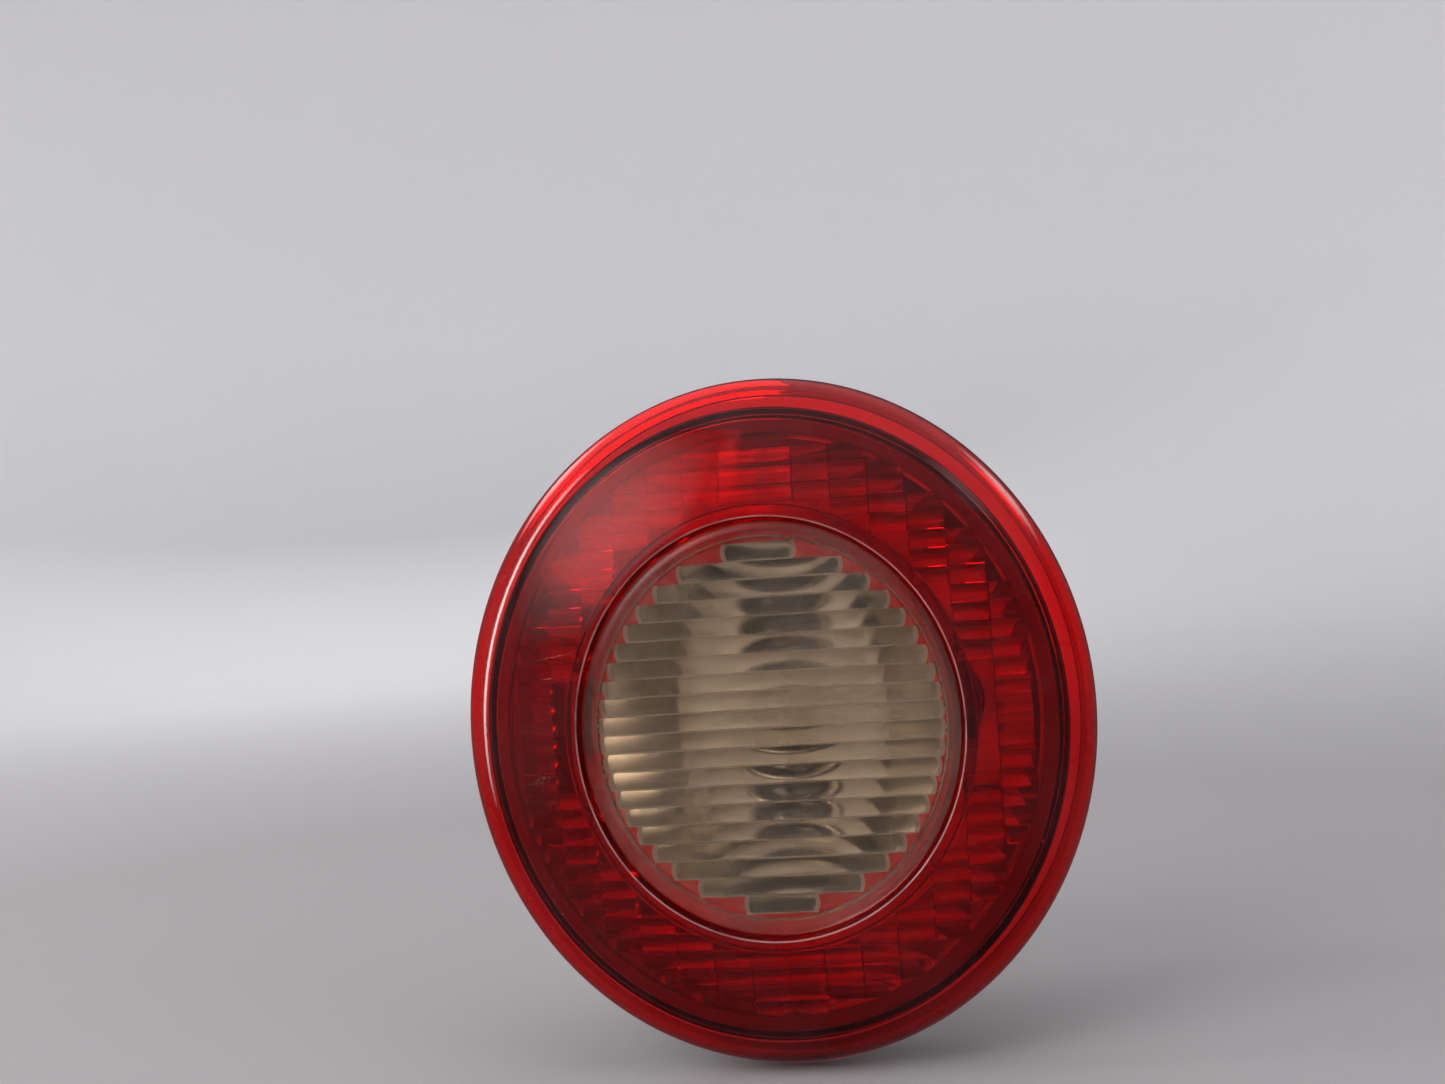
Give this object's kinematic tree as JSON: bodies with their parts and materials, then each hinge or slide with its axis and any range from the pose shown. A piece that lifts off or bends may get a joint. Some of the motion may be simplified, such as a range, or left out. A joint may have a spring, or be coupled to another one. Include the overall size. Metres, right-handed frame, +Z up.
{
  "type": "vehicle rear lamp",
  "caption": "Oval rear lamp for a road vehicle: domed red lens ring, fluted clear disc, metallised reflector, sealed tub and a latched bulb carrier that pulls out at the back.",
  "frame": {"origin": "centre of the stud circle on the mounting face, the back of the body gasket", "axes": "-Y out of the lens, +Y along the studs into the vehicle, +Z up, +X to the right seen from in front"},
  "size_m": [0.1748, 0.091, 0.19],
  "materials": {
    "red_lens": "polished red acrylic, lightly scuffed",
    "clear_lens": "smoky clear acrylic",
    "red_optics": "polished red acrylic",
    "reflector_coating": "plastic with a vacuum-metallised mirror coat",
    "housing_plastic": "moulded dark grey plastic",
    "zinc_steel": "zinc plated",
    "foam_rubber": "closed-cell foam",
    "black_rubber": "satin",
    "carrier_plastic": "moulded off-white plastic",
    "tinned_brass": "tinned",
    "latch_plastic": "moulded off-white plastic",
    "nickelled_cap": "nickel plated",
    "bulb_glass": "clear glass",
    "filament_wire": "wire on a glass stem"
  },
  "bodies": {
    "lamp": {"outer_lens": "red_lens", "centre_lens": "clear_lens", "optic_ring": "red_optics", "reflector": "reflector_coating", "housing": "housing_plastic", "mounting_studs": "zinc_steel", "body_gasket": "foam_rubber", "vent_cap": "black_rubber"},
    "carrier": {"carrier_plate": "carrier_plastic", "carrier_seal": "black_rubber", "earth_strip": "tinned_brass", "feed_strip_indicator": "tinned_brass", "feed_strip_reversing": "tinned_brass", "feed_strip_stop_left": "tinned_brass", "feed_strip_stop_right": "tinned_brass", "connector_pins": "tinned_brass"},
    "latch_left": {"latch_left": "latch_plastic"},
    "latch_right": {"latch_right": "latch_plastic"},
    "bulb_indicator": {"bulb_cap_indicator": "nickelled_cap", "bulb_glass_indicator": "bulb_glass", "bulb_filament_indicator": "filament_wire"},
    "bulb_reversing": {"bulb_cap_reversing": "nickelled_cap", "bulb_glass_reversing": "bulb_glass", "bulb_filament_reversing": "filament_wire"},
    "bulb_stop_left": {"bulb_cap_stop_left": "nickelled_cap", "bulb_glass_stop_left": "bulb_glass", "bulb_filament_stop_left": "filament_wire"},
    "bulb_stop_right": {"bulb_cap_stop_right": "nickelled_cap", "bulb_glass_stop_right": "bulb_glass", "bulb_filament_stop_right": "filament_wire"}
  },
  "joints": [
    {"name": "carrier_slide", "type": "slide", "parent": "lamp", "child": "carrier", "axis": [0, 1, 0], "range_m": [0, 0.06]},
    {"name": "latch_left_turn", "type": "hinge", "parent": "carrier", "child": "latch_left", "pos_m": [-0.064, 0.012, 0], "axis": [0, 0, -1], "range_deg": [0, 12], "stiffness_Nm_per_rad": 0.05},
    {"name": "latch_right_turn", "type": "hinge", "parent": "carrier", "child": "latch_right", "pos_m": [0.064, 0.012, 0], "axis": [0, 0, 1], "range_deg": [0, 12], "stiffness_Nm_per_rad": 0.05},
    {"name": "bulb_indicator_twist", "type": "hinge", "parent": "carrier", "child": "bulb_indicator", "pos_m": [0, 0, 0.026], "axis": [0, -1, 0], "range_deg": [0, 25]},
    {"name": "bulb_reversing_twist", "type": "hinge", "parent": "carrier", "child": "bulb_reversing", "pos_m": [0, 0, -0.026], "axis": [0, -1, 0], "range_deg": [0, 25]},
    {"name": "bulb_stop_left_twist", "type": "hinge", "parent": "carrier", "child": "bulb_stop_left", "pos_m": [-0.045, 0, 0], "axis": [0, -1, 0], "range_deg": [0, 25]},
    {"name": "bulb_stop_right_twist", "type": "hinge", "parent": "carrier", "child": "bulb_stop_right", "pos_m": [0.045, 0, 0], "axis": [0, -1, 0], "range_deg": [0, 25]}
  ]
}
